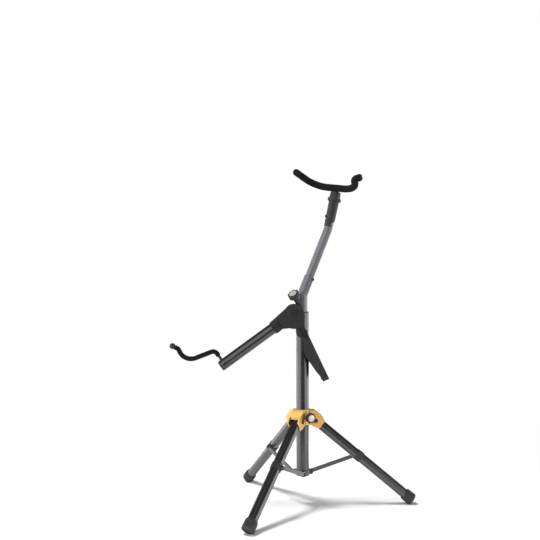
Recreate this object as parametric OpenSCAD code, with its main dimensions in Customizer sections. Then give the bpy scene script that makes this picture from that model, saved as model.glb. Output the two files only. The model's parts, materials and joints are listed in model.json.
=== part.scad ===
// Folding floor stand for a saxophone: a tripod on a sliding collar, a fixed mast with a
// height-adjustable bent upper arm that carries a padded yoke, and a folding lower arm that
// carries a padded hook. Millimetres, +Z up, floor at z = 0, leg 1 along +X, lower arm along -X.

/* [Mast] */
// Outer diameter of the mast tube
mast_d = 30; // [28:0.5:32]
// Wall of the steel tubes
wall = 1.5; // [1.2:0.1:1.8]
// Height of the lower end of the mast
mast_bottom = 84; // [80:1:90]
// Height of the upper end of the mast
mast_top = 455; // [445:1:465]

/* [Tripod] */
// Angle of the opened legs from vertical
leg_angle = 50.5; // [46:0.5:52]
// Height of the leg pivots with the legs open
leg_pivot_z = 200; // [190:1:205]
// Distance of the leg pivots from the mast axis
leg_pivot_r = 30; // [30:0.5:32]
// Outer diameter of the leg tubes
leg_d = 23; // [20:0.5:23]
// Distance along a leg from its pivot to the strut clip
strut_on_leg = 134; // [125:1:145]
// Outer diameter of the rubber feet
foot_d = 29.5; // [28:0.5:32]

/* [Lower arm] */
// Slope of the lower arm below horizontal
arm_drop = 36; // [30:1:40]
// Length of the lower arm from its pivot to the end of the tube
arm_length = 212; // [200:1:240]
// Outer diameter of the lower arm
arm_d = 26; // [25:0.5:26]
// Diameter of the hook rod
hook_rod_d = 7; // [6:0.5:8]
// Outer diameter of the foam on the hook
hook_foam_d = 11.5; // [11:0.5:14]

/* [Upper arm] */
// Outer diameter of the riser that slides in the mast
riser_d = 24; // [23:0.5:24]
// Lean of the middle of the upper arm from vertical
upper_lean = 21.5; // [18:0.5:26]
// Lean of the top of the upper arm and of the yoke holder from vertical
holder_lean = 12; // [8:1:16]
// Straight length of the leaning part of the upper arm
lean_length = 159; // [140:1:175]

/* [Yoke] */
// Swivel position of the yoke about its stem
yoke_turn = 231.5; // [0:0.5:360]
// Upward tilt of the yoke's branches from the plane across its stem
yoke_tilt = 18; // [5:1:40]
// Bend radius of the yoke's two shoulders
yoke_bend = 50.5; // [45:0.5:60]
// Outer diameter of the foam on the yoke
yoke_foam_d = 17; // [15:0.5:19]

/* [Hidden] */
$fn = 64;

// Fits: radial gap of a running fit, radial gap of an assembled fit, gap between passing parts
run = 0.06;
seat = 0.04;
gap = 0.4;
bead = 0.08;

// Shift of the mast axis that puts the middle of the object's box over x = 0
axis_x = 23.7;

// Colours
black_paint = "#2a2d31";
grey_paint = "#5b6068";
black_plastic = "#1d1e20";
rubber = "#35363a";
foam = "#0c0c0d";
steel = "#9a9ca0";
silver = "#c9c9c3";
amber = "#e8a53c";

// Mast and collar
mast_r = mast_d / 2;
mast_in = mast_r - wall;
bush_top = mast_top + 3;
collar_r = 20.5;
collar_low = 191;
collar_high = 224;
cheek_in = leg_d / 2 + gap;
cheek_out = cheek_in + 2.6;
pocket_r = 12.4;
roof_reach = 11.5;
pin_r = 3;

// Tripod: the foot's rim is cut flat where it meets the floor
foot_flat = 1.5;
foot_end = (leg_pivot_z + foot_flat - foot_d / 2 * sin(leg_angle)) / cos(leg_angle);
foot_len = 24;
leg_tube_end = foot_end - 4;
hub_r = 16;
hub_low = 70;
hub_high = 82;
strut_in_r = 20;
strut_in_z = 76;
strut_h = 9;
strut_t = 3;
lug_side = leg_d / 2 + 1.7;
strut_side = lug_side + gap;
strut_out_r = leg_pivot_r + strut_on_leg * sin(leg_angle);
strut_out_z = leg_pivot_z - strut_on_leg * cos(leg_angle);
strut_len = sqrt(pow(strut_out_r - strut_in_r, 2) + pow(strut_out_z - strut_in_z, 2));
strut_rise = asin((strut_out_z - strut_in_z) / strut_len);
rivet_r = 2.5;

// Head: arm pivot, bracket and fork
arm_pivot_x = -20;
arm_pivot_z = 455;
pivot_r = 4;
bracket_y = 18;
fork_in = bracket_y + 0.6;
fork_out = fork_in + 4;
fork_rim = 38;
socket_from = 31;
socket_to = 64;
socket_r = 15;
arm_from = 34;
arm_rivet_z = [47, 58];

// Release lever
lever_x = 4;
lever_z = 404;
lever_in = bracket_y + 0.5;
lever_out = lever_in + 2.8;
lever_pin_r = 3;
spring_r = 6.2;
spring_wire = 1.1;
head_screw_x = -7;
head_screw_z = [432, 446];

// Height screw: inclined axis from a point on the mast axis
height_turn = 230;
height_tip = 45;
height_z = 463;
knob_screw_r = 3;

// Collar screw
collar_turn = -66;
collar_screw_z = 210;

// Upper arm: bends and the frame at the holder's foot
riser_r = riser_d / 2;
riser_in = riser_r - wall - 0.2;
upper_d = 20.5;
riser_low = 255;
bend_start = 490;
bend_low_r = 50;
bend_high_r = 30;
sleeve_len = 36;
sleeve_pin = 32;
sleeve_pin_turn = -40;
sleeve_lap = 14;
holder_lap = 5;
holder_x = bend_low_r * (1 - cos(upper_lean)) + lean_length * sin(upper_lean)
  + bend_high_r * (cos(holder_lean) - cos(upper_lean)) - holder_lap * sin(holder_lean);
holder_z = bend_start + bend_low_r * sin(upper_lean) + lean_length * cos(upper_lean)
  + bend_high_r * (sin(upper_lean) - sin(holder_lean)) - holder_lap * cos(holder_lean);
holder_top = 91;
stem_r = 5;

// Yoke: straight middle, shoulder, flared tip, as [length, 0, 0] or [radius, angle, roll] steps
yoke_rod_d = 8;
yoke_middle = 24;
yoke_shoulder = 68.5;
yoke_branch = 10.5;
yoke_flare_r = 12.5;
yoke_flare = 82;
yoke_flare_roll = 26;
yoke_tip_len = 4.5;
yoke_base = 100;
yoke_offset = 6.5;
yoke_half = [
  [yoke_middle, 0, 0], [yoke_bend, yoke_shoulder, 0], [yoke_branch, 0, 0],
  [yoke_flare_r, -yoke_flare, yoke_flare_roll], [yoke_tip_len, 0, 0]
];

// Hook: bare root, then peak, trough and turned-up tip
hook_at = 206;
hook_sink = 8;
hook_bare = 23;
hook_tip_d = 14.5;
hook_steps = [
  [7, 0, 0], [11.5, -75, 0], [40.5, 0, 0], [30, 91, 0], [10, -45, 0], [6, 0, 0]
];

// A bent rod that starts along +Z; a positive angle turns it towards its +X, after the step's roll.
// A bead a hair larger than the rod joins each step to the next.
module rod(d, steps, i = 0) {
  if (i < len(steps)) {
    size = steps[i][0];
    turn = steps[i][1];
    if (i > 0) sphere(d = d + 2 * bead);
    if (turn == 0) {
      cylinder(d = d, h = size);
      translate([0, 0, size]) rod(d, steps, i + 1);
    } else {
      side = sign(turn);
      rotate([0, 0, steps[i][2]]) {
        translate([side * size, 0, 0])
          rotate([90, 0, 0])
            rotate([0, 0, turn > 0 ? 180 - turn : 0])
              rotate_extrude(angle = abs(turn)) translate([size, 0]) circle(d = d);
        translate([side * size * (1 - cos(turn)), 0, size * sin(abs(turn))])
          rotate([0, turn, 0]) rod(d, steps, i + 1);
      }
    }
  }
}

// A bent tube; its first and last steps are straight
module bent_tube(od, id, steps) {
  last = len(steps) - 1;
  inner = [for (i = [0:last]) [steps[i][0] + (i == 0 || i == last ? 1 : 0), steps[i][1], steps[i][2]]];
  difference() {
    rod(od, steps);
    translate([0, 0, -1]) rod(id, inner);
  }
}

// A flat outline in the XZ plane, made thick along Y from y0 to y1
module plate(y0, y1) {
  translate([0, y1, 0]) rotate([90, 0, 0]) linear_extrude(y1 - y0) children();
}

module pair_y() {
  children();
  mirror([0, 1, 0]) children();
}

// A cylinder along Y from y0 to y1
module y_pin(r, y0, y1) {
  translate([0, y1, 0]) rotate([90, 0, 0]) cylinder(r = r, h = y1 - y0);
}

// Frames
module on_axis() translate([axis_x, 0, 0]) children();

module on_side(k) on_axis() rotate([0, 0, 120 * (k - 1)]) children();

module on_leg(k) {
  on_side(k) translate([leg_pivot_r, 0, leg_pivot_z]) rotate([0, 180 - leg_angle, 0]) children();
}

module on_strut(k) {
  on_side(k) translate([strut_in_r, 0, strut_in_z]) rotate([0, 90 - strut_rise, 0]) children();
}

module on_arm() {
  on_axis() translate([arm_pivot_x, 0, arm_pivot_z]) rotate([0, -90 - arm_drop, 0]) children();
}

module on_hook() on_arm() translate([0, 0, hook_at]) rotate([0, 90, 0]) children();

module on_holder() on_axis() translate([holder_x, 0, holder_z]) rotate([0, holder_lean, 0]) children();

module on_yoke() {
  on_holder() translate([0, 0, yoke_base]) rotate([0, 0, yoke_turn]) translate([yoke_offset, 0, 0])
    rotate([0, -yoke_tilt, 0]) children();
}

module on_height_screw() {
  on_axis() translate([0, 0, height_z]) rotate([0, 0, height_turn]) rotate([0, height_tip, 0]) children();
}

module on_collar_screw() {
  on_axis() translate([0, 0, collar_screw_z]) rotate([0, 0, collar_turn]) rotate([0, 90, 0]) children();
}

// Mast
module mast_tube() {
  color(black_paint) on_axis() difference() {
    translate([0, 0, mast_bottom]) cylinder(r = mast_r, h = mast_top - mast_bottom);
    translate([0, 0, mast_bottom - 1]) cylinder(r = mast_in, h = mast_top - mast_bottom + 2);
    for (z = head_screw_z) translate([head_screw_x, 0, z]) y_pin(1.8, -20, 20);
  }
}

module mast_end_plug() {
  color(black_plastic) on_axis() difference() {
    union() {
      translate([0, 0, hub_high]) cylinder(r = mast_r, h = mast_bottom - hub_high);
      translate([0, 0, hub_high]) cylinder(r = mast_in - seat, h = 24);
    }
    translate([0, 0, hub_high - 1]) cylinder(r = rivet_r, h = 30);
  }
}

module strut_bracket() {
  color(black_paint) on_axis() difference() {
    union() {
      translate([0, 0, hub_low]) cylinder(r = hub_r, h = hub_high - hub_low);
      for (k = [0:2]) rotate([0, 0, 120 * k]) {
        translate([0, 6.4, hub_low]) cube([strut_in_r, lug_side - 6.4, hub_high - hub_low]);
        translate([strut_in_r, 0, strut_in_z]) y_pin(6, 6.4, lug_side);
      }
    }
    translate([0, 0, hub_low - 1]) cylinder(r = rivet_r + 0.1, h = 20);
    for (k = [0:2]) rotate([0, 0, 120 * k])
      translate([strut_in_r, 0, strut_in_z]) y_pin(rivet_r + seat, 5, 20);
  }
}

module bracket_screw() {
  color(steel) on_axis() {
    translate([0, 0, hub_low]) cylinder(r = rivet_r - seat, h = 28);
    translate([0, 0, hub_low - 2.5]) cylinder(r1 = 3.6, r2 = 4.6, h = 2.5);
  }
}

module bracket_rivets() {
  for (k = [1:3]) color(steel) on_side(k) translate([strut_in_r, 0, strut_in_z]) {
    y_pin(rivet_r, 6.4, strut_side + strut_t + 0.2);
    y_pin(3.6, 5, 6.4);
    y_pin(4, strut_side + strut_t + 0.2, strut_side + strut_t + 1.6);
  }
}

module mast_guide_bush() {
  color(black_plastic) on_axis() difference() {
    union() {
      translate([0, 0, mast_top - 40]) cylinder(r = mast_in - seat, h = 40);
      translate([0, 0, mast_top]) cylinder(r = mast_r, h = bush_top - mast_top);
    }
    translate([0, 0, mast_top - 41]) cylinder(r = riser_r + run, h = 50);
    for (z = head_screw_z) translate([head_screw_x, 0, z]) y_pin(1.8, -20, 20);
  }
}

// Head
module bracket_outline() {
  polygon([
    [-38, 438], [-41, 450], [-38, 466], [-29, 474], [-12, 474], [-4, 466],
    [-4, 424], [10, 414], [12, 402], [8, 394], [-2, 392], [-14, 402], [-16, 424]
  ]);
}

module head_bracket() {
  color(black_plastic) difference() {
    union() {
      on_axis() plate(-bracket_y, bracket_y) bracket_outline();
      on_height_screw() translate([0, 0, 14]) cylinder(r = 7, h = 26);
    }
    on_axis() {
      translate([0, 0, 380]) cylinder(r = mast_r + seat, h = mast_top - 380 + 0.5);
      translate([0, 0, mast_top]) cylinder(r = mast_r + 0.3, h = bush_top - mast_top + 0.3);
      translate([0, 0, bush_top]) cylinder(r = riser_r + 0.5, h = 40);
      translate([arm_pivot_x, 0, arm_pivot_z]) y_pin(pivot_r + seat, -30, 30);
      translate([lever_x, 0, lever_z]) y_pin(lever_pin_r + seat, -30, 30);
      for (z = head_screw_z) pair_y() translate([head_screw_x, 0, z]) {
        y_pin(1.75, 10, 20);
        y_pin(3.5, bracket_y - 2, 20);
      }
    }
    on_height_screw() {
      translate([0, 0, 10]) cylinder(r = 4.6, h = 15);
      cylinder(r = knob_screw_r + run, h = 50);
    }
  }
}

module head_screws() {
  color(steel) on_axis() for (z = head_screw_z) pair_y() translate([head_screw_x, 0, z]) {
    y_pin(1.7, 12.6, bracket_y - 1);
    y_pin(3.4, bracket_y - 1.9, bracket_y - 0.1);
  }
}

module arm_pivot_pin() {
  color(steel) on_axis() translate([arm_pivot_x, 0, arm_pivot_z]) {
    y_pin(pivot_r, -fork_out - 0.2, fork_out + 6);
    y_pin(7, -fork_out - 3.4, -fork_out - 0.2);
  }
}

module arm_pivot_nut() {
  color(steel) on_axis() translate([arm_pivot_x, 0, arm_pivot_z]) difference() {
    union() {
      translate([0, fork_out + 5.2, 0]) rotate([90, 0, 0]) cylinder(r = 7, h = 4, $fn = 6);
      y_pin(7.6, fork_out + 0.2, fork_out + 1.4);
    }
    y_pin(pivot_r + seat, fork_out, fork_out + 8);
  }
}

module lever_studs() {
  color(steel) on_axis() translate([lever_x, 0, lever_z]) pair_y() {
    y_pin(lever_pin_r, 15, lever_out + 2.8);
    y_pin(5, lever_out + 2.8, lever_out + 4.2);
  }
}

// Two-turn torsion spring round the rear stud, with one leg up the bracket and one down the lever
module lever_spring() {
  color(steel) on_axis() translate([lever_x, -lever_out - 0.9, lever_z]) rotate([90, 0, 0]) {
    rotate_extrude() for (turn = [0, 1]) translate([spring_r, 0.9 * turn]) circle(d = spring_wire, $fn = 24);
    translate([-spring_r, 0, 0]) rotate([-90, 0, 0]) cylinder(d = spring_wire - 0.05, h = 13);
    translate([spring_r, 0, 0.9]) rotate([90, 0, 0]) cylinder(d = spring_wire - 0.05, h = 13);
  }
}

// Collar: a ring with three hoods, each a pocket between two cheeks
module hood_outline() {
  polygon([
    [16, collar_low], [16, collar_high], [27, collar_high], [36, 218], [45, 210.5],
    [51.5, 202], [52, 199.5], [40, 182.5], [38, 181.3], [31, 184], [24, 187.5]
  ]);
}

// Room for the leg to swing in, cut to the width between the cheeks, which reach past the roof
module hood_pocket() {
  half = pocket_r - 0.3;
  intersection() {
    translate([leg_pivot_r, 0, leg_pivot_z]) {
      y_pin(pocket_r, -20, 20);
      translate([-half, -21, -40]) cube([60, 42, 41]);
      rotate([0, 180 - leg_angle, 0]) translate([-half, -22, 0]) cube([2 * half, 44, 60]);
      translate([roof_reach, -23, -40]) cube([60, 46, 80]);
    }
    translate([0, -cheek_in, 0]) cube([200, 2 * cheek_in, 400]);
  }
}

module collar_casting() {
  color(amber) difference() {
    union() {
      on_axis() translate([0, 0, collar_low]) cylinder(r = collar_r, h = collar_high - collar_low);
      on_axis() translate([0, 0, collar_high]) cylinder(r1 = 19.5, r2 = 18, h = 2);
      for (k = [1:3]) on_side(k) plate(-cheek_out, cheek_out) hood_outline();
      on_collar_screw() translate([0, 0, mast_r]) cylinder(r = 8, h = 16);
    }
    on_axis() cylinder(r = mast_r + run, h = 300);
    for (k = [1:3]) on_side(k) {
      hood_pocket();
      translate([leg_pivot_r, 0, leg_pivot_z]) y_pin(pin_r + seat, -20, 20);
    }
    on_collar_screw() {
      translate([0, 0, 10]) cylinder(r = 4.6, h = 13);
      cylinder(r = knob_screw_r + run, h = 40);
    }
  }
}

module leg_pivot_rivets() {
  for (k = [1:3]) color(steel) on_side(k) translate([leg_pivot_r, 0, leg_pivot_z]) {
    y_pin(pin_r, -cheek_out - 0.1, cheek_out + 0.1);
    pair_y() y_pin(4.6, cheek_out + 0.1, cheek_out + 1.6);
  }
}

// Clamp screws: stud, fluted knob and its cap, along the local Z axis
module clamp_stud(from, to) {
  translate([0, 0, from]) cylinder(r = knob_screw_r, h = to - from);
}

module fluted_knob(r, low, thick, cap_r, flutes) {
  translate([0, 0, low]) difference() {
    union() {
      cylinder(r1 = r * 0.62, r2 = r, h = thick * 0.35);
      translate([0, 0, thick * 0.35]) cylinder(r = r, h = thick * 0.5);
      translate([0, 0, thick * 0.85]) cylinder(r1 = r, r2 = r - 1.6, h = thick * 0.15);
    }
    for (i = [0:flutes - 1]) rotate([0, 0, 360 / flutes * i])
      translate([r + 1.4, 0, -1]) cylinder(r = 3, h = thick + 2);
    translate([0, 0, thick - 1.6]) cylinder(r = cap_r + seat, h = 3);
    translate([0, 0, -1]) cylinder(r = knob_screw_r + seat, h = thick - 3);
  }
}

module knob_cap(cap_r, at) {
  translate([0, 0, at]) {
    cylinder(r = cap_r, h = 1.8);
    translate([0, 0, 1.8]) cylinder(r1 = cap_r, r2 = cap_r - 1.2, h = 0.8);
  }
}

module collar_pad() {
  color(black_plastic) difference() {
    on_collar_screw() translate([0, 0, 14]) cylinder(r = 4.5, h = 6);
    on_axis() translate([0, 0, 180]) cylinder(r = mast_r + run, h = 60);
  }
}

module collar_knob() {
  color(black_plastic) on_collar_screw() fluted_knob(12, 32, 13, 8, 8);
}

module collar_knob_cap() {
  color(silver) on_collar_screw() knob_cap(8, 43.5);
}

module collar_knob_stud() {
  color(steel) on_collar_screw() clamp_stud(20, 41);
}

// Legs
module leg_tube(k) {
  color(black_paint) on_leg(k) difference() {
    translate([0, 0, -3]) cylinder(d = leg_d, h = leg_tube_end + 3);
    translate([0, 0, -4]) cylinder(d = leg_d - 2 * wall, h = leg_tube_end + 5);
    y_pin(pin_r + run, -20, 20);
  }
}

module foot_cap(k) {
  color(rubber) difference() {
    on_leg(k) difference() {
      union() {
        translate([0, 0, foot_end - foot_len]) cylinder(d1 = foot_d - 2, d2 = foot_d, h = 5);
        translate([0, 0, foot_end - foot_len + 5]) cylinder(d = foot_d, h = foot_len - 5);
      }
      translate([0, 0, foot_end - foot_len - 1])
        cylinder(r = leg_d / 2 + seat, h = leg_tube_end - foot_end + foot_len + 1.2);
    }
    translate([-500, -500, -50]) cube([1000, 1000, 50]);
  }
}

module strut_clip(k) {
  color(black_plastic) on_leg(k) translate([0, 0, strut_on_leg]) difference() {
    union() {
      translate([0, 0, -8]) cylinder(d = leg_d + 3, h = 16);
      y_pin(7, 6, lug_side);
    }
    translate([0, 0, -9]) cylinder(r = leg_d / 2 + seat, h = 18);
  }
}

// Struts: flat bars beside the legs, with the outer pin carried in the bar
module strut(k) {
  color(black_paint) on_strut(k) difference() {
    union() {
      translate([-strut_h / 2, strut_side, 0]) cube([strut_h, strut_t, strut_len]);
      for (z = [0, strut_len]) translate([0, 0, z]) y_pin(strut_h / 2 + 0.5, strut_side, strut_side + strut_t);
    }
    y_pin(rivet_r + run, 10, 20);
    translate([0, 0, strut_len]) y_pin(rivet_r, 10, 20);
  }
}

module strut_pin(k) {
  color(steel) on_strut(k) translate([0, 0, strut_len]) {
    y_pin(rivet_r - seat, strut_side, strut_side + strut_t);
    y_pin(4.2, strut_side + strut_t, strut_side + strut_t + 1.6);
  }
}

// Upper arm
module on_lean() {
  on_axis() translate([bend_low_r * (1 - cos(upper_lean)), 0, bend_start + bend_low_r * sin(upper_lean)])
    rotate([0, upper_lean, 0]) children();
}

module on_sleeve_pin() {
  on_lean() translate([0, 0, sleeve_pin]) rotate([0, 0, sleeve_pin_turn]) rotate([0, 90, 0]) children();
}

module riser_tube() {
  steps = [[bend_start - riser_low, 0, 0], [bend_low_r, upper_lean, 0], [sleeve_len, 0, 0]];
  color(grey_paint) difference() {
    on_axis() translate([0, 0, riser_low]) bent_tube(riser_d, 2 * riser_in, steps);
    on_sleeve_pin() cylinder(r = 2, h = 20);
  }
}

module riser_glide() {
  color(black_plastic) on_axis() difference() {
    union() {
      translate([0, 0, riser_low - 9]) cylinder(r = mast_in - 0.1, h = 9);
      translate([0, 0, riser_low]) cylinder(r = riser_in - seat, h = 18);
    }
    translate([0, 0, riser_low - 10]) cylinder(r = riser_in - 3, h = 30);
  }
}

module upper_arm_tube() {
  steps = [[lean_length - sleeve_lap, 0, 0], [bend_high_r, holder_lean - upper_lean, 0], [55, 0, 0]];
  color(grey_paint) difference() {
    on_lean() translate([0, 0, sleeve_lap]) bent_tube(upper_d, upper_d - 2 * wall, steps);
    on_sleeve_pin() cylinder(r = 1.9, h = 20);
  }
}

// Screw that pins the upper arm in the riser's sleeve
module riser_screw() {
  color(black_plastic) on_sleeve_pin() {
    translate([0, 0, 8]) cylinder(r = 1.8, h = 5);
    translate([0, 0, riser_r + 0.1]) cylinder(r = 3.4, h = 2.2);
  }
}

module yoke_holder() {
  color(black_plastic) on_holder() difference() {
    union() {
      translate([0, 0, 6]) cylinder(r1 = 11.6, r2 = 12.4, h = 62);
      translate([0, 0, 76]) cylinder(r1 = 13.6, r2 = 12, h = holder_top - 76);
      translate([0, 0, 60]) cylinder(r = 12, h = 18);
    }
    translate([0, 0, 5]) cylinder(r = upper_d / 2 + seat, h = 56);
    translate([0, 0, 50]) cylinder(r = stem_r + run, h = 60);
    translate([8, -20, 5]) rotate([0, -38, 0]) translate([0, 0, -30]) cube([40, 40, 40]);
    translate([0, 0, 30]) rotate([0, -90, 0]) cylinder(r = 2, h = 20);
  }
}

module holder_screw() {
  color(steel) on_holder() translate([0, 0, 30]) rotate([0, -90, 0]) {
    translate([0, 0, upper_d / 2 + 0.1]) cylinder(r = 1.9, h = 3);
    translate([0, 0, 12.1]) cylinder(r = 3.2, h = 1.6);
  }
}

// Yoke
module yoke_stem() {
  color(black_paint) difference() {
    on_holder() {
      translate([0, 0, 64]) cylinder(r = stem_r, h = yoke_base - 62);
      translate([0, 0, holder_top + 0.3]) cylinder(r = 7.2, h = 3);
      translate([0, 0, yoke_base - 5.5]) rotate([0, 0, yoke_turn])
        translate([0, -5, 0]) cube([yoke_offset - 1, 10, 6]);
    }
    on_yoke() rotate([90, 0, 0]) cylinder(r = yoke_rod_d / 2 + seat, h = 2 * yoke_middle, center = true);
  }
}

module yoke_swivel_ring() {
  color(black_plastic) on_holder() difference() {
    translate([0, 0, 69]) cylinder(r = 16, h = 6.6);
    translate([0, 0, 68]) cylinder(r = 12 + run, h = 10);
    for (i = [0:23]) rotate([0, 0, 15 * i]) translate([16.6, 0, 68]) cylinder(r = 1.1, h = 10, $fn = 16);
  }
}

module yoke_halves(d) {
  sphere(d = d + 2 * bead);
  pair_y() rotate([-90, 0, 0]) rod(d, yoke_half);
}

module yoke_rod() {
  color(black_paint) on_yoke() yoke_halves(yoke_rod_d);
}

// Puts children at the far end of a bent rod
module at_rod_end(steps, i = 0) {
  if (i < len(steps)) {
    size = steps[i][0];
    turn = steps[i][1];
    if (turn == 0) translate([0, 0, size]) at_rod_end(steps, i + 1) children();
    else rotate([0, 0, steps[i][2]]) translate([sign(turn) * size * (1 - cos(turn)), 0, size * sin(abs(turn))])
      rotate([0, turn, 0]) at_rod_end(steps, i + 1) children();
  } else {
    children();
  }
}

module yoke_foam() {
  color(foam) difference() {
    on_yoke() yoke_halves(yoke_foam_d);
    on_yoke() {
      yoke_halves(yoke_rod_d + 2 * seat);
      pair_y() rotate([-90, 0, 0]) at_rod_end(yoke_half) {
        translate([0, 0, -0.5]) cylinder(d = yoke_rod_d + 2 * seat, h = 2);
        translate([0, 0, -bead]) cylinder(d = yoke_foam_d + 1, h = 6);
      }
    }
    on_holder() {
      cylinder(r = 7.5, h = yoke_base + 30);
      translate([0, 0, yoke_base - 16]) rotate([0, 0, yoke_turn]) translate([0, -6, 0]) cube([9, 12, 17]);
    }
  }
}

module yoke_tip_caps() {
  color(rubber) on_yoke() pair_y() rotate([-90, 0, 0]) at_rod_end(yoke_half) {
    translate([0, 0, 0.1]) cylinder(r = 7.6, h = 1.6);
    translate([0, 0, 1.7]) cylinder(r1 = 7.6, r2 = 5, h = 1.6);
  }
}

// Height clamp
module height_pad() {
  color(black_plastic) difference() {
    on_height_screw() translate([0, 0, 12]) cylinder(r = 4.5, h = 10);
    on_axis() translate([0, 0, 440]) cylinder(r = riser_r + run, h = 80);
  }
}

module height_knob() {
  color(black_plastic) on_height_screw() fluted_knob(14, 41, 14, 9.5, 8);
}

module height_knob_cap() {
  color(silver) on_height_screw() knob_cap(9.5, 53.5);
}

module height_knob_stud() {
  color(steel) on_height_screw() clamp_stud(22.2, 51);
}

// Lower arm
module lower_arm_tube() {
  color(black_paint) on_arm() difference() {
    translate([0, 0, arm_from]) cylinder(d = arm_d, h = arm_length - arm_from);
    translate([0, 0, arm_from - 1]) cylinder(d = arm_d - 2 * wall, h = arm_length - arm_from + 2);
    translate([0, 0, hook_at]) rotate([0, 90, 0]) cylinder(d = hook_rod_d + 1, h = 20);
    translate([0, 0, hook_at - 3]) y_pin(1.9, -20, 0);
    for (z = arm_rivet_z) translate([0, 0, z]) y_pin(2, -20, 20);
  }
}

// Side view of the fork in the arm's frame: disc, heel with a fluted rim, and taper to the socket
module fork_outline() {
  difference() {
    union() {
      circle(r = 21.5);
      intersection() {
        circle(r = fork_rim);
        polygon([[-12.9, -17.8], [-58.3, 15.2], [-60, 60], [-16, 36], [0, 0]]);
      }
      polygon([[21, 2], [19, 16], [17, 37], [15, socket_to - 4], [13, socket_to],
        [-13, socket_to], [-15, socket_to - 4], [-14, 45], [-22, 31], [-12, -12]]);
    }
    for (a = [0:7:42]) rotate([0, 0, 133 + a]) translate([fork_rim + 0.3, 0]) circle(r = 1.2, $fn = 24);
  }
}

module arm_fork() {
  color(black_plastic) on_arm() difference() {
    plate(-fork_out, fork_out) fork_outline();
    translate([-60, -fork_in, -60]) cube([120, 2 * fork_in, 60 + socket_from]);
    translate([-60, -fork_in, socket_from - 1]) cube([60 - socket_r, 2 * fork_in, 16]);
    translate([0, 0, socket_from]) cylinder(d = arm_d + 2 * seat, h = 60);
    y_pin(pivot_r + run, -40, 40);
    for (z = arm_rivet_z) translate([0, 0, z]) y_pin(2, -40, 40);
    pair_y() plate(17, 40) polygon([[60, socket_from], [60, 90], [-60, 90], [-60, 50]]);
  }
}

module arm_rivets() {
  color(steel) on_arm() for (z = arm_rivet_z) translate([0, 0, z]) pair_y() {
    y_pin(1.9, arm_d / 2 - wall - 1, 17);
    y_pin(3.4, 17, 18.2);
  }
}

module arm_end_cap() {
  color(black_plastic) on_arm() difference() {
    union() {
      translate([0, 0, arm_length - 30]) cylinder(r = arm_d / 2 - wall - seat, h = 30);
      translate([0, 0, arm_length]) cylinder(r1 = arm_d / 2, r2 = arm_d / 2 - 1.5, h = 5);
    }
    translate([-hook_sink, 0, hook_at]) rotate([0, 90, 0]) cylinder(r = hook_rod_d / 2 + run, h = 40);
    translate([0, 0, hook_at - 3]) y_pin(1.5, -20, -6);
  }
}

module arm_end_screw() {
  color(steel) on_arm() translate([0, 0, hook_at - 3]) {
    y_pin(1.45, -arm_d / 2 - 0.2, -6);
    y_pin(3, -arm_d / 2 - 1.8, -arm_d / 2 - 0.2);
  }
}

// Hook
module hook_rod() {
  color(black_paint) on_hook() translate([0, 0, -hook_sink + 0.3])
    rod(hook_rod_d, concat([[hook_sink - 0.3 + hook_bare, 0, 0]], hook_steps));
}

module hook_foam() {
  color(foam) on_hook() translate([0, 0, hook_bare]) bent_tube(hook_foam_d, hook_rod_d + 2 * (bead + seat), hook_steps);
}

module hook_tip() {
  color(rubber) on_hook() translate([0, 0, hook_bare]) at_rod_end(hook_steps) intersection() {
    translate([0, 0, 5.6]) sphere(d = hook_tip_d);
    translate([-10, -10, 0.1]) cube(20);
  }
}

// Release lever: an open channel astride the mast, pivoted on two studs, its nose under the fork
module lever_outline() {
  polygon([
    [-8, 403], [-15.5, 413.5], [-13.5, 415.8], [-6, 411], [2, 414], [8.5, 412], [62, 299.5], [47, 293],
    [43, 303], [34.5, 312], [20, 333], [5, 353], [1.5, 370], [1, 387]
  ]);
}

module release_lever() {
  color(black_plastic) on_axis() difference() {
    union() {
      pair_y() plate(lever_in, lever_out) lever_outline();
      plate(-lever_in - 1, lever_in + 1) polygon([[18.9, 390], [62, 299.5], [59.4, 298.4], [16.3, 389]]);
    }
    translate([lever_x, 0, lever_z]) y_pin(lever_pin_r + run, -40, 40);
  }
}

module leg_tube_1() leg_tube(1);
module leg_tube_2() leg_tube(2);
module leg_tube_3() leg_tube(3);
module foot_cap_1() foot_cap(1);
module foot_cap_2() foot_cap(2);
module foot_cap_3() foot_cap(3);
module strut_clip_1() strut_clip(1);
module strut_clip_2() strut_clip(2);
module strut_clip_3() strut_clip(3);
module strut_1() strut(1);
module strut_2() strut(2);
module strut_3() strut(3);
module strut_pin_1() strut_pin(1);
module strut_pin_2() strut_pin(2);
module strut_pin_3() strut_pin(3);

mast_tube();
mast_end_plug();
strut_bracket();
bracket_screw();
bracket_rivets();
mast_guide_bush();
head_bracket();
head_screws();
arm_pivot_pin();
arm_pivot_nut();
lever_studs();
lever_spring();
collar_casting();
leg_pivot_rivets();
collar_pad();
collar_knob();
collar_knob_cap();
collar_knob_stud();
leg_tube_1();
leg_tube_2();
leg_tube_3();
foot_cap_1();
foot_cap_2();
foot_cap_3();
strut_clip_1();
strut_clip_2();
strut_clip_3();
strut_1();
strut_2();
strut_3();
strut_pin_1();
strut_pin_2();
strut_pin_3();
riser_tube();
riser_glide();
riser_screw();
upper_arm_tube();
yoke_holder();
holder_screw();
yoke_stem();
yoke_swivel_ring();
yoke_rod();
yoke_foam();
yoke_tip_caps();
height_pad();
height_knob();
height_knob_cap();
height_knob_stud();
lower_arm_tube();
arm_fork();
arm_rivets();
arm_end_cap();
arm_end_screw();
hook_rod();
hook_foam();
hook_tip();
release_lever();
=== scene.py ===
"""Looks of a folding saxophone stand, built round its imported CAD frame. Metres, +Z up."""
import json
import math

import bpy
from mathutils import Matrix, Vector, noise


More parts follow.
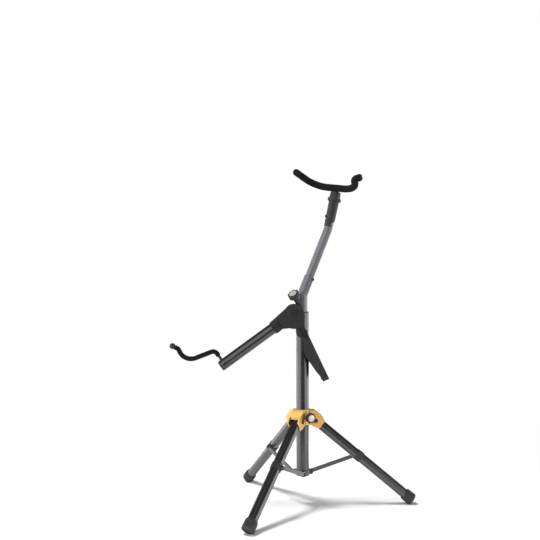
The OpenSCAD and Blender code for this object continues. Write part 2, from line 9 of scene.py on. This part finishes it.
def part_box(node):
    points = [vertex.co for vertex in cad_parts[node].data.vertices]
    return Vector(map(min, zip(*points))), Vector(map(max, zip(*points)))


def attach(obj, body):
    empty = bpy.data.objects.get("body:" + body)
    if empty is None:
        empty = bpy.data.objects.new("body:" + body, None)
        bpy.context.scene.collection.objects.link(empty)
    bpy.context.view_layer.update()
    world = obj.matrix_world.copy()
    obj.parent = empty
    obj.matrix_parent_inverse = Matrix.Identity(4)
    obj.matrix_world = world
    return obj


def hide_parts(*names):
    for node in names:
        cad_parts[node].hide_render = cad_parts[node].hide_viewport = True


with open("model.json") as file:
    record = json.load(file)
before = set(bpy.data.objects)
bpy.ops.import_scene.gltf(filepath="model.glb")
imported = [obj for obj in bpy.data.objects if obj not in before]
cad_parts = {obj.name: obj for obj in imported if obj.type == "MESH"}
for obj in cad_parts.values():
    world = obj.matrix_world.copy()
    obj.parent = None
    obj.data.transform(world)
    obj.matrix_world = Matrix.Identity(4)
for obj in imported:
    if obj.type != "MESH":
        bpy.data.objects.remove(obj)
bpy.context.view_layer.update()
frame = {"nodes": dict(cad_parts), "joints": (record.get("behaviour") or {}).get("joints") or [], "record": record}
nodes = frame["nodes"]
joints = {joint["name"]: joint for joint in frame["joints"]}
scene = bpy.context.scene
MM = 0.001

# ---------------------------------------------------------------- camera, light and floor
CAMERA_AZIMUTH = math.radians(-1.5)
CAMERA_PITCH_UP = math.radians(1.869)
CAMERA_DISTANCE = 1.8
CAMERA_HEIGHT = 0.499
CAMERA_ASIDE = -0.0779
CAMERA_LENS = 50
# Studio: panels of the surroundings, as spans of direction components; the rest of them; the sun; the floor
PANEL_ASIDE, PANEL_TOP, PANEL_FOOT, PANEL_STRENGTH = (0.45, 0.70), (-0.5, -0.2), (-0.32, -0.12), 2.4
FRONT_LEFT, FRONT_LOW, FRONT_AHEAD, FRONT_STRENGTH = (-0.3, 0.0), (0.0, 0.12), (0.1, 0.5), 1.3
AMBIENT_STRENGTH = 0.05
SUN_FROM, SUN_WIDTH, SUN_STRENGTH = (-0.45, -0.05, 1.55), 14, 2.95
FLOOR_RADIUS, FLOOR_SIDES = 0.75, 96
mast_low, mast_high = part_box("mast_tube")
MAST_X = (mast_low.x + mast_high.x) / 2


def make_camera():
    back = Vector((math.sin(CAMERA_AZIMUTH), -math.cos(CAMERA_AZIMUTH), 0))
    right = Vector((math.cos(CAMERA_AZIMUTH), math.sin(CAMERA_AZIMUTH), 0))
    data = bpy.data.cameras.new("camera")
    data.lens = CAMERA_LENS
    data.sensor_width = 36
    data.clip_start = 0.05
    data.clip_end = 50
    camera = bpy.data.objects.new("camera", data)
    camera.location = Vector((MAST_X, 0, CAMERA_HEIGHT)) + back * CAMERA_DISTANCE + right * CAMERA_ASIDE
    camera.rotation_euler = (math.radians(90) + CAMERA_PITCH_UP, 0, CAMERA_AZIMUTH)
    scene.collection.objects.link(camera)
    scene.camera = camera


def make_studio():
    """Soft light: a bright panel on each side, a weaker one to the upper front left, a soft sun above.

    The camera itself sees white surroundings; the panels show only in reflections and in their light.
    """
    world = bpy.data.worlds.new("studio")
    world.use_nodes = True
    tree = world.node_tree
    background = tree.nodes["Background"]
    background.inputs["Color"].default_value = (1, 1, 1, 1)
    direction = tree.nodes.new("ShaderNodeTexCoord").outputs["Generated"]
    split = tree.nodes.new("ShaderNodeSeparateXYZ")
    tree.links.new(direction, split.inputs["Vector"])

    def math_node(operation, *values):
        node = tree.nodes.new("ShaderNodeMath")
        node.operation = operation
        for socket, value in zip(node.inputs, values):
            if isinstance(value, (int, float)):
                socket.default_value = value
            else:
                tree.links.new(value, socket)
        return node.outputs[0]

    def fade(value, start, end):
        """0 before start, 1 beyond end, smooth between them."""
        node = tree.nodes.new("ShaderNodeMapRange")
        node.interpolation_type = "SMOOTHSTEP"
        node.inputs["From Min"].default_value = start
        node.inputs["From Max"].default_value = end
        tree.links.new(value, node.inputs["Value"])
        return node.outputs["Result"]

    aside = fade(math_node("ABSOLUTE", split.outputs["X"]), *PANEL_ASIDE)
    level = math_node("MULTIPLY", fade(math_node("MULTIPLY", split.outputs["Z"], -1), *PANEL_TOP),
                      fade(split.outputs["Z"], *PANEL_FOOT))
    panel = math_node("MULTIPLY", math_node("MULTIPLY", aside, level), PANEL_STRENGTH)
    left = fade(math_node("MULTIPLY", split.outputs["X"], -1), *FRONT_LEFT)
    raised = fade(split.outputs["Z"], *FRONT_LOW)
    ahead = fade(math_node("MULTIPLY", split.outputs["Y"], -1), *FRONT_AHEAD)
    front = math_node("MULTIPLY", math_node("MULTIPLY", left, raised),
                      math_node("MULTIPLY", ahead, FRONT_STRENGTH))
    lit = math_node("ADD", math_node("MAXIMUM", panel, front), AMBIENT_STRENGTH)
    seen = tree.nodes.new("ShaderNodeLightPath").outputs["Is Camera Ray"]
    strength = math_node("MAXIMUM", lit, seen)
    tree.links.new(strength, background.inputs["Strength"])
    scene.world = world
    sun = bpy.data.lights.new("soft_sun", "SUN")
    sun.energy = SUN_STRENGTH
    sun.angle = math.radians(SUN_WIDTH)
    light = bpy.data.objects.new("soft_sun", sun)
    light.rotation_euler = Vector(SUN_FROM).to_track_quat("Z", "Y").to_euler()
    light.visible_glossy = False
    scene.collection.objects.link(light)
    scene.view_settings.view_transform = "Standard"
    scene.view_settings.look = "None"


def make_floor():
    """A round pale floor; beyond its rim the white surroundings go on without a visible edge."""
    vertices = [(0, 0, 0)]
    for step in range(FLOOR_SIDES):
        angle = 2 * math.pi * step / FLOOR_SIDES
        vertices.append((FLOOR_RADIUS * math.cos(angle), FLOOR_RADIUS * math.sin(angle), 0))
    faces = [(0, 1 + step, 1 + (step + 1) % FLOOR_SIDES) for step in range(FLOOR_SIDES)]
    floor = new_mesh("studio_floor", vertices, faces)
    floor.data.materials.append(floor_material())


# ---------------------------------------------------------------- mesh helpers
def new_mesh(name, vertices, faces):
    mesh = bpy.data.meshes.new(name)
    mesh.from_pydata([tuple(v) for v in vertices], [], faces)
    mesh.validate()
    mesh.shade_smooth()
    piece = bpy.data.objects.new(name, mesh)
    scene.collection.objects.link(piece)
    return piece


def rings_to_mesh(name, rings):
    """Joins equal rings of points into a tube, with a fan over each end."""
    count = len(rings[0])
    vertices = [point for ring in rings for point in ring]
    faces = []
    for i in range(len(rings) - 1):
        for j in range(count):
            k = (j + 1) % count
            faces.append((i * count + j, i * count + k, (i + 1) * count + k, (i + 1) * count + j))
    for ring, outward in ((0, False), (len(rings) - 1, True)):
        centre = sum((Vector(p) for p in rings[ring]), Vector()) / count
        vertices.append(centre)
        middle = len(vertices) - 1
        for j in range(count):
            a, b = ring * count + j, ring * count + (j + 1) % count
            faces.append((a, b, middle) if outward else (b, a, middle))
    return new_mesh(name, vertices, faces)


def lathe(name, profile, place, turns=72, radius_of=None):
    """Turns (radius, height) points about local Z and puts them in place, a 4x4 matrix."""
    rings = []
    for radius, height in profile:
        ring = []
        for j in range(turns):
            angle = 2 * math.pi * j / turns
            r = radius_of(radius, height, angle) if radius_of else radius
            ring.append(place @ Vector((r * math.cos(angle), r * math.sin(angle), height)))
        rings.append(ring)
    return rings_to_mesh(name, rings)


# ---------------------------------------------------------------- bent sleeves
def turned(axis, angle):
    return Matrix.Rotation(math.radians(angle), 4, axis)


def rings_to_loop(name, rings):
    """Joins equal rings of points into a tube whose last ring meets its first."""
    count, total = len(rings[0]), len(rings)
    faces = []
    for i in range(total):
        a, b = i * count, (i + 1) % total * count
        for j in range(count):
            k = (j + 1) % count
            faces.append((a + j, a + k, b + k, b + j))
    return new_mesh(name, [point for ring in rings for point in ring], faces)


def follow(steps, spacing):
    """Stations along a rod bent in the local XZ plane: (distance, 4x4 matrix), as the CAD rod runs.

    A step is (length, 0, 0) or (bend radius, angle, roll); after its roll, a positive angle turns towards +X.
    The rolls are taken out of the matrices again, so that rings placed along them are not twisted.
    """
    place = Matrix.Identity(4)
    distance = 0.0
    rolled = 0.0
    stations = [(0.0, place.copy())]
    for size, turn, roll in steps:
        place = place @ turned("Z", roll)
        rolled += roll
        length = size if turn == 0 else size * abs(math.radians(turn))
        count = max(2, round(length / spacing))
        for i in range(1, count + 1):
            share = i / count
            if turn == 0:
                local = Matrix.Translation((0, 0, size * share))
            else:
                side = math.copysign(size, turn)
                swept = math.radians(turn) * share
                local = Matrix.Translation((side * (1 - math.cos(swept)), 0, size * abs(math.sin(swept))))
                local = local @ Matrix.Rotation(swept, 4, "Y")
            stations.append((distance + length * share, place @ local @ turned("Z", -rolled)))
        distance += length
        place = stations[-1][1] @ turned("Z", rolled)
    return stations


def bend_at(steps, distance, mirrored=False):
    """Towards which side of the station the rod bends, as a vector as long as 1 over the bend's radius."""
    rolled = 0.0
    for size, turn, roll in steps:
        rolled += -roll if mirrored else roll
        length = size if turn == 0 else size * abs(math.radians(turn))
        if distance <= length:
            sharp = 0.0 if turn == 0 else math.copysign(1 / size, turn)
            return turned("Z", rolled) @ Vector((sharp, 0, 0))
        distance -= length
    return Vector((0, 0, 0))


FOAM_RIM = 1.6 * MM
FOLD_PITCH = 3.6 * MM
SHARPEST_BEND = 60


def foam_sleeve(name, stations, curvature, radius, bore, seams=(), turns=56):
    """A foam tube along stations: skin with soft lumps, folds inside its bends, rounded ends and a bore."""
    first, last = stations[0][0], stations[-1][0]
    rim = FOAM_RIM
    rings = []

    def ring_at(place, ring_radius, distance, detail):
        ring = []
        for j in range(turns):
            angle = 2 * math.pi * j / turns
            direction = Vector((math.cos(angle), math.sin(angle), 0))
            r = ring_radius
            if detail:
                point = place @ (direction * ring_radius)
                r += 0.00022 * noise.noise(point * 95) + 0.00010 * noise.noise(point * 420)
                bend = curvature(distance)
                inner = max(0.0, direction.dot(bend.normalized()))
                sharp = min(1.0, bend.length / SHARPEST_BEND)
                r += 0.00045 * sharp * inner ** 2 * math.sin(distance * 2 * math.pi / FOLD_PITCH)
                r -= 0.00015 * sharp * (1 - inner)
                for seam in seams:
                    r -= 0.0007 * math.exp(-((distance - seam) / 0.0006) ** 2)
            ring.append(place @ (direction * r))
        return ring

    start, end = stations[0][1], stations[-1][1]
    rings.append(ring_at(start, bore, first, False))
    for step in range(5):
        angle = math.radians(90 * step / 4)
        place = start @ Matrix.Translation((0, 0, rim * (1 - math.cos(angle))))
        rings.append(ring_at(place, radius - rim + rim * math.sin(angle), first, False))
    for distance, place in stations:
        if first + rim < distance < last - rim:
            rings.append(ring_at(place, radius, distance, True))
    for step in range(5):
        angle = math.radians(90 * step / 4)
        place = end @ Matrix.Translation((0, 0, -rim * (1 - math.sin(angle))))
        rings.append(ring_at(place, radius - rim + rim * math.cos(angle), last, False))
    rings.append(ring_at(end, bore, last, False))
    for distance, place in reversed(stations[4:-4:4]):
        rings.append(ring_at(place, bore, distance, False))
    return rings_to_loop(name, rings)


# Yoke: half of its rod, from the middle outwards, and where its middle sits on the stem
YOKE_HALF = [(24 * MM, 0, 0), (50.5 * MM, 68.5, 0), (10.5 * MM, 0, 0), (12.5 * MM, -82, 26), (4.5 * MM, 0, 0)]
YOKE_TURN, YOKE_TILT = 231.5, 18
YOKE_ABOVE_JOINT, YOKE_OFFSET = 9 * MM, 6.5 * MM
YOKE_FOAM_RADIUS, YOKE_BORE = 8.5 * MM, 4.1 * MM
# Hook: its rod beyond the bare root
HOOK_BARE = 23 * MM
HOOK_STEPS = [(7 * MM, 0, 0), (11.5 * MM, -75, 0), (40.5 * MM, 0, 0), (30 * MM, 91, 0), (10 * MM, -45, 0),
              (6 * MM, 0, 0)]
HOOK_FOAM_RADIUS, HOOK_BORE = 5.75 * MM, 3.7 * MM
ARM_DROP = 36
FOAM_SPACING = 0.9 * MM


def joint_place(name):
    """The joint's point and direction, in the frame."""
    return Vector(joints[name]["pos_m"]), Vector(joints[name]["axis"])


def make_yoke_foam():
    point, axis = joint_place("yoke_swivel")
    lean = math.degrees(math.atan2(axis.x, axis.z))
    place = (Matrix.Translation(point + axis * YOKE_ABOVE_JOINT) @ turned("Y", lean) @ turned("Z", YOKE_TURN)
             @ Matrix.Translation((YOKE_OFFSET, 0, 0)) @ turned("Y", -YOKE_TILT))
    half = follow(YOKE_HALF, FOAM_SPACING)
    mirror = Matrix.Scale(-1, 4, (0, 1, 0))
    left = [(-d, place @ turned("X", -90) @ m @ turned("X", 180)) for d, m in reversed(half)]
    right = [(d, place @ mirror @ turned("X", -90) @ m @ mirror) for d, m in half[1:]]
    sleeve = foam_sleeve("yoke_foam_sleeve", left + right,
                         lambda d: bend_at(YOKE_HALF, abs(d), mirrored=True),
                         YOKE_FOAM_RADIUS, YOKE_BORE, seams=(0.0,))
    finish_piece(sleeve, "yoke", "black_foam", "yoke_foam")


def make_hook_foam():
    point, _ = joint_place("hook_swivel")
    place = Matrix.Translation(point) @ turned("Y", -ARM_DROP) @ Matrix.Translation((0, 0, HOOK_BARE))
    stations = [(d, place @ m) for d, m in follow(HOOK_STEPS, FOAM_SPACING)]
    sleeve = foam_sleeve("hook_foam_sleeve", stations, lambda d: bend_at(HOOK_STEPS, d),
                         HOOK_FOAM_RADIUS, HOOK_BORE, turns=44)
    finish_piece(sleeve, "hook", "black_foam", "hook_foam")


# ---------------------------------------------------------------- knobs and feet
def axis_place(point, axis):
    """A frame whose Z runs along axis from point."""
    return Matrix.Translation(point) @ axis.to_track_quat("Z", "X").to_matrix().to_4x4()


FLUTES, FLUTE_DEPTH = 8, 1.9 * MM


def make_knob(name, joint, body, joint_at, low, thick, radius, insert_radius):
    """A scalloped clamp knob with a plain domed insert; sizes run from the screw's origin, in metres."""
    point, axis = joint_place(joint)
    place = axis_place(point - axis * joint_at, axis)

    def scalloped(r, height, angle):
        rise = (height - low) / thick
        fade = max(0.0, min(1.0, (rise - 0.12) / 0.2))
        reach = max(0.0, min(1.0, (r / radius - 0.72) / 0.28))
        return r - FLUTE_DEPTH * fade * reach * (0.5 + 0.5 * math.cos(FLUTES * angle)) ** 1.8

    top = low + thick
    profile = [(0.0034, low), (radius * 0.55, low), (radius * 0.60, low + 0.0006)]
    for step in range(7):
        angle = math.radians(90 * step / 6)
        profile.append((radius * (0.62 + 0.38 * math.sin(angle)),
                        low + 0.0008 + 0.0036 * (1 - math.cos(angle))))
    profile.append((radius, low + thick * 0.55))
    edge = 0.0022
    for step in range(7):
        angle = math.radians(90 * step / 6)
        profile.append((radius - edge * (1 - math.cos(angle)), top - edge + edge * math.sin(angle)))
    profile += [(insert_radius + 0.0011, top), (insert_radius + 0.0006, top - 0.0003),
                (insert_radius + 0.0003, top - 0.0012), (insert_radius * 0.5, top - 0.0012)]
    knob = lathe(name + "_grip", profile, place, 128, scalloped)
    finish_piece(knob, body, "black_plastic", name)
    base = top - 0.0011
    disc = [(insert_radius * 0.6, base), (insert_radius, base), (insert_radius, base + 0.0010),
            (insert_radius - 0.0003, base + 0.0014), (insert_radius - 0.0011, base + 0.0015),
            (insert_radius - 0.0015, base + 0.0011), (insert_radius - 0.0020, base + 0.0011),
            (insert_radius * 0.62, base + 0.0015), (insert_radius * 0.3, base + 0.0018),
            (insert_radius * 0.05, base + 0.0019)]
    insert = lathe(name + "_insert", disc, place, 96)
    finish_piece(insert, body, "knob_insert", name + "_cap")


LEG_ANGLE = math.radians(50.5)
FOOT_END, FOOT_LENGTH, FOOT_RADIUS, LEG_RADIUS = 298.89 * MM, 24 * MM, 14.75 * MM, 11.5 * MM


# A grip groove: depth and height from its middle
GROOVE_PROFILE = [(0.1 * MM, -0.8 * MM), (0.5 * MM, -0.5 * MM), (0.7 * MM, 0), (0.5 * MM, 0.5 * MM),
                  (0.1 * MM, 0.8 * MM)]


def make_foot(k):
    """A rubber foot: a beaded lip, two grip grooves, a rounded rim and a flat worn where it stands."""
    point, tangent = joint_place(f"leg_{k}_fold")
    radial = tangent.cross(Vector((0, 0, 1)))
    axis = radial * math.sin(LEG_ANGLE) - Vector((0, 0, 1)) * math.cos(LEG_ANGLE)
    place = axis_place(point, axis)
    low = FOOT_END - FOOT_LENGTH
    inner = LEG_RADIUS + 0.0001
    profile = [(inner, FOOT_END - 0.0037), (inner, low + 0.001), (inner + 0.0004, low + 0.0003)]
    for step in range(7):
        angle = math.pi * step / 6
        profile.append((FOOT_RADIUS - 0.0014 - 0.0008 * math.cos(angle),
                        low + 0.00108 * (1 - math.cos(angle))))
    profile += [(FOOT_RADIUS - 0.0009, low + 0.0032), (FOOT_RADIUS - 0.0004, low + 0.0050)]
    for groove in (0.0085, 0.0125):
        profile += [(FOOT_RADIUS - depth, low + groove + height) for depth, height in GROOVE_PROFILE]
    profile += [(FOOT_RADIUS, FOOT_END - 0.0060), (FOOT_RADIUS, FOOT_END - 0.0022)]
    for step in range(1, 6):
        angle = math.radians(90 * step / 5)
        profile.append((FOOT_RADIUS - 0.0016 * (1 - math.cos(angle)),
                        FOOT_END - 0.0016 + 0.0016 * math.sin(angle)))
    profile += [(FOOT_RADIUS * 0.6, FOOT_END), (FOOT_RADIUS * 0.55, FOOT_END - 0.0008),
                (FOOT_RADIUS * 0.2, FOOT_END - 0.0008)]
    foot = lathe(f"foot_{k}_rubber", profile, place, 96)
    for vertex in foot.data.vertices:
        vertex.co.z = max(vertex.co.z, 0.0)
    finish_piece(foot, f"leg_{k}", "foot_rubber", f"foot_cap_{k}")


# ---------------------------------------------------------------- materials
class Paint:
    """A material under construction: its node tree and its main shader."""

    def __init__(self, name, color, roughness, **sockets):
        self.material = bpy.data.materials.new(name)
        self.material.use_nodes = True
        self.tree = self.material.node_tree
        self.shader = self.tree.nodes["Principled BSDF"]
        self.shader.inputs["Base Color"].default_value = (*color, 1)
        self.shader.inputs["Roughness"].default_value = roughness
        for socket, value in sockets.items():
            self.shader.inputs[socket.replace("_", " ")].default_value = value
        self.place = self.tree.nodes.new("ShaderNodeTexCoord").outputs["Object"]

    def link(self, source, target):
        self.tree.links.new(source, target)

    def noise(self, scale, detail=3.0, rough=0.55, stretch=(1, 1, 1)):
        """A noise in the object's own metres; scale is in cells per metre."""
        mapping = self.tree.nodes.new("ShaderNodeMapping")
        mapping.inputs["Scale"].default_value = stretch
        self.link(self.place, mapping.inputs["Vector"])
        texture = self.tree.nodes.new("ShaderNodeTexNoise")
        texture.inputs["Scale"].default_value = scale
        texture.inputs["Detail"].default_value = detail
        texture.inputs["Roughness"].default_value = rough
        self.link(mapping.outputs["Vector"], texture.inputs["Vector"])
        return texture.outputs["Fac"]

    def cells(self, scale):
        """Round cells, for the pores of foam."""
        texture = self.tree.nodes.new("ShaderNodeTexVoronoi")
        texture.inputs["Scale"].default_value = scale
        self.link(self.place, texture.inputs["Vector"])
        return texture.outputs["Distance"]

    def spread(self, value, low_in, high_in, low_out, high_out):
        """Maps value from one span to another, clamped."""
        node = self.tree.nodes.new("ShaderNodeMapRange")
        for socket, number in zip(("From Min", "From Max", "To Min", "To Max"),
                                  (low_in, high_in, low_out, high_out)):
            node.inputs[socket].default_value = number
        self.link(value, node.inputs["Value"])
        return node.outputs["Result"]

    def ramp(self, value, *stops):
        node = self.tree.nodes.new("ShaderNodeValToRGB")
        elements = node.color_ramp.elements
        while len(elements) < len(stops):
            elements.new(0.5)
        for element, (position, color) in zip(elements, stops):
            element.position = position
            element.color = (*color, 1)
        self.link(value, node.inputs["Fac"])
        return node.outputs["Color"]

    def mix(self, factor, color_a, color_b):
        """Mixes two colours; either is a socket or a tuple."""
        node = self.tree.nodes.new("ShaderNodeMix")
        node.data_type = "RGBA"
        self.link(factor, node.inputs[0])
        for socket, value in ((node.inputs[6], color_a), (node.inputs[7], color_b)):
            if isinstance(value, tuple):
                socket.default_value = (*value, 1)
            else:
                self.link(value, socket)
        return node.outputs[2]

    def edges(self, radius):
        """Mask of the painted edge highlight: 1 on edges sharper than the radius, 0 on open faces."""
        bevel = self.tree.nodes.new("ShaderNodeBevel")
        bevel.samples = 6
        bevel.inputs["Radius"].default_value = radius
        plain = self.tree.nodes.new("ShaderNodeNewGeometry").outputs["Normal"]
        turned_by = self.tree.nodes.new("ShaderNodeVectorMath")
        turned_by.operation = "DOT_PRODUCT"
        self.link(bevel.outputs["Normal"], turned_by.inputs[0])
        self.link(plain, turned_by.inputs[1])
        return self.spread(turned_by.outputs["Value"], 0.99, 0.86, 0, 1)

    def painted_recess_shade(self, reach):
        """Mask of painted shade: 1 deep in corners and under other pieces, where shade falls; 0 in the open."""
        shade = self.tree.nodes.new("ShaderNodeAmbientOcclusion")
        shade.samples = 8
        shade.inputs["Distance"].default_value = reach
        return self.spread(shade.outputs["AO"], 0.85, 0.35, 0, 1)

    def color(self, value):
        self.link(value, self.shader.inputs["Base Color"])

    def roughness(self, value):
        self.link(value, self.shader.inputs["Roughness"])

    def bump(self, *layers):
        """Stacks bumps; each layer is (height socket, strength, depth in metres)."""
        normal = None
        for height, strength, depth in layers:
            node = self.tree.nodes.new("ShaderNodeBump")
            node.inputs["Strength"].default_value = strength
            node.inputs["Distance"].default_value = depth
            self.link(height, node.inputs["Height"])
            if normal:
                self.link(normal, node.inputs["Normal"])
            normal = node.outputs["Normal"]
        self.link(normal, self.shader.inputs["Normal"])


def floor_material():
    paint = Paint("floor_paper", (0.93, 0.93, 0.93), 0.75)
    grain = paint.noise(60, 4)
    paint.color(paint.ramp(grain, (0.3, (0.925, 0.925, 0.925)), (0.7, (0.945, 0.945, 0.945))))
    return paint.material


def powder_coat(name, dark, light, roughness):
    """Semi-gloss powder coat on tube: fine orange peel, cloudy tone, small dusty scuffs."""
    paint = Paint(name, dark, roughness, Specular_IOR_Level=0.9, Coat_Weight=0.5, Coat_Roughness=0.16)
    cloud = paint.noise(14, 3)
    scuff = paint.noise(90, 6, 0.7, (1, 1, 0.35))
    tone = paint.ramp(cloud, (0.3, dark), (0.75, light))
    worn = tuple(min(1, 2.2 * c + 0.01) for c in light)
    paint.color(paint.mix(paint.spread(scuff, 0.66, 0.8, 0, 0.35), tone, worn))
    paint.roughness(paint.spread(scuff, 0.25, 0.8, roughness - 0.05, roughness + 0.13))
    paint.bump((paint.noise(1500, 2), 0.15, 0.00010), (scuff, 0.06, 0.0002))
    return paint.material


def moulded_plastic(name, dark, light, roughness, texture_depth):
    """Moulded nylon: spark-eroded texture, flow clouds, rubbed high spots and paler edges, a painted highlight."""
    paint = Paint(name, dark, roughness)
    cloud = paint.noise(30, 4)
    grain = paint.noise(2600, 2, 0.5)
    rub = paint.noise(120, 5, 0.65)
    tone = paint.ramp(cloud, (0.3, dark), (0.7, light))
    rubbed = tuple(min(1, 1.9 * c + 0.008) for c in light)
    tone = paint.mix(paint.spread(rub, 0.62, 0.78, 0, 0.4), tone, rubbed)
    # Painted highlight: sharp edges turn pale grey, as if light caught them.
    paint.color(paint.mix(paint.edges(0.0012), tone, (0.075, 0.076, 0.080)))
    paint.roughness(paint.spread(rub, 0.3, 0.75, roughness + 0.08, roughness - 0.08))
    paint.bump((grain, 0.35, texture_depth))
    return paint.material


def foot_rubber():
    paint = Paint("foot_rubber", (0.02, 0.02, 0.022), 0.62, Sheen_Weight=0.04, Sheen_Roughness=0.5)
    cloud = paint.noise(35, 5)
    dust = paint.noise(220, 6, 0.7)
    tone = paint.ramp(cloud, (0.3, (0.016, 0.016, 0.018)), (0.72, (0.027, 0.027, 0.030)))
    paint.color(paint.mix(paint.spread(dust, 0.6, 0.8, 0, 0.3), tone, (0.09, 0.088, 0.084)))
    paint.roughness(paint.spread(dust, 0.3, 0.7, 0.55, 0.8))
    paint.bump((paint.noise(1800, 3), 0.3, 0.00015), (dust, 0.15, 0.0003))
    return paint.material


def black_foam():
    """Closed-cell foam sleeve: pinhole cells over a slightly lumpy skin."""
    paint = Paint("black_foam", (0.005, 0.005, 0.006), 0.9, Specular_IOR_Level=0.3)
    cells = paint.cells(1150)
    lump = paint.noise(120, 4)
    dust = paint.noise(420, 5, 0.7)
    tone = paint.ramp(lump, (0.3, (0.004, 0.004, 0.005)), (0.75, (0.009, 0.009, 0.010)))
    paint.color(paint.mix(paint.spread(dust, 0.6, 0.85, 0, 0.25), tone, (0.03, 0.03, 0.031)))
    paint.roughness(paint.spread(lump, 0.3, 0.7, 0.85, 0.97))
    paint.bump((cells, 0.55, 0.0005), (lump, 0.25, 0.0006))
    return paint.material


def amber_plastic():
    """Tinted engineering plastic: depth of colour, faint flow lines, semi-gloss skin; painted shade in its
    recesses and a painted highlight on its edges.
    """
    paint = Paint("amber_plastic", (0.78, 0.45, 0.12), 0.36, Coat_Weight=0.25, Coat_Roughness=0.18)
    paint.shader.inputs["Subsurface Weight"].default_value = 0.08
    paint.shader.inputs["Subsurface Radius"].default_value = (0.004, 0.002, 0.0006)
    flow = paint.noise(26, 4, 0.5, (1, 1, 2.5))
    rub = paint.noise(150, 5, 0.65)
    tone = paint.ramp(flow, (0.3, (0.68, 0.38, 0.09)), (0.55, (0.78, 0.45, 0.12)),
                      (0.8, (0.83, 0.52, 0.17)))
    tone = paint.mix(paint.spread(rub, 0.62, 0.8, 0, 0.3), tone, (0.50, 0.29, 0.09))
    # Painted shade: the amber turns dark brown in recesses and close under other pieces.
    tone = paint.mix(paint.painted_recess_shade(0.012), tone, (0.34, 0.15, 0.02))
    # Painted highlight: sharp edges turn pale amber, as if light caught them.
    paint.color(paint.mix(paint.edges(0.0010), tone, (0.90, 0.70, 0.36)))
    paint.roughness(paint.spread(rub, 0.3, 0.75, 0.3, 0.48))
    paint.bump((paint.noise(2200, 2), 0.18, 0.0001), (flow, 0.06, 0.0004))
    return paint.material


def bare_metal(name, color, roughness, lines, metallic=1.0):
    """Plated, oxidised or metal-lacquered: drawn lines and a few darker stains."""
    paint = Paint(name, color, roughness, Metallic=metallic)
    drawn = paint.noise(lines, 3, 0.6, (1, 1, 0.08))
    stain = paint.noise(160, 5, 0.65)
    darker = tuple(c * 0.62 for c in color)
    lighter = tuple(min(1, c * 1.15) for c in color)
    tone = paint.ramp(drawn, (0.3, color), (0.7, lighter))
    paint.color(paint.mix(paint.spread(stain, 0.55, 0.75, 0, 0.55), tone, darker))
    paint.roughness(paint.spread(drawn, 0.3, 0.7, roughness - 0.08, roughness + 0.12))
    paint.bump((drawn, 0.12, 0.00008), (stain, 0.06, 0.00015))
    return paint.material


MATERIALS = {
    "black_paint": powder_coat("black_paint", (0.008, 0.008, 0.010), (0.013, 0.013, 0.016), 0.26),
    "grey_paint": powder_coat("grey_paint", (0.105, 0.108, 0.125), (0.135, 0.139, 0.158), 0.38),
    "black_plastic": moulded_plastic("black_plastic", (0.014, 0.014, 0.016), (0.024, 0.024, 0.027),
                                     0.5, 0.0002),
    "foot_rubber": foot_rubber(),
    "black_foam": black_foam(),
    "amber_plastic": amber_plastic(),
    "knob_insert": bare_metal("knob_insert", (0.58, 0.56, 0.47), 0.36, 900, metallic=0.5),
    "zinc_steel": bare_metal("zinc_steel", (0.46, 0.46, 0.47), 0.34, 700),
    "dark_steel": bare_metal("dark_steel", (0.055, 0.055, 0.06), 0.4, 700),
}


def dress_cad_nodes():
    """Gives every CAD node the procedural material of its slot in the record."""
    for part in frame["record"]["subparts"]:
        piece = nodes[part["node"]]
        piece.data.materials.clear()
        piece.data.materials.append(MATERIALS[part["material_slot"]])


def finish_piece(piece, body, slot, *replaced):
    piece.data.materials.clear()
    piece.data.materials.append(MATERIALS[slot])
    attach(piece, body)
    if replaced:
        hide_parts(*replaced)
    return piece


# ---------------------------------------------------------------- edges of moulded CAD parts
WELD_REACH = 0.004 * MM
SHARP_ANGLE = math.radians(28)
ROUNDED = {"collar_casting": 0.8 * MM, "head_bracket": 0.8 * MM, "arm_fork": 0.8 * MM,
           "release_lever": 0.6 * MM, "yoke_holder": 0.7 * MM, "arm_end_cap": 0.8 * MM}


def round_edges(node, width):
    """Rounds the sharp edges of a CAD node with modifiers; its own mesh stays as it is."""
    piece = nodes[node]
    stored_normals = piece.data.attributes.get("custom_normal")
    if stored_normals:
        piece.data.attributes.remove(stored_normals)
    piece.data.shade_smooth()
    weld = piece.modifiers.new("weld", "WELD")
    weld.merge_threshold = WELD_REACH
    bevel = piece.modifiers.new("round_edges", "BEVEL")
    bevel.width = width
    bevel.segments = 2
    bevel.limit_method = "ANGLE"
    bevel.angle_limit = SHARP_ANGLE
    bevel.use_clamp_overlap = True
    bevel.harden_normals = True


make_camera()
make_studio()
make_floor()
dress_cad_nodes()
make_yoke_foam()
make_hook_foam()
make_knob("collar_knob", "collar_knob_turn", "collar_screw", 38 * MM, 32 * MM, 13 * MM, 12 * MM, 8 * MM)
make_knob("height_knob", "height_knob_turn", "height_screw", 48 * MM, 41 * MM, 14 * MM, 14 * MM, 9.5 * MM)
for leg in (1, 2, 3):
    make_foot(leg)
for node_name, edge in ROUNDED.items():
    round_edges(node_name, edge)
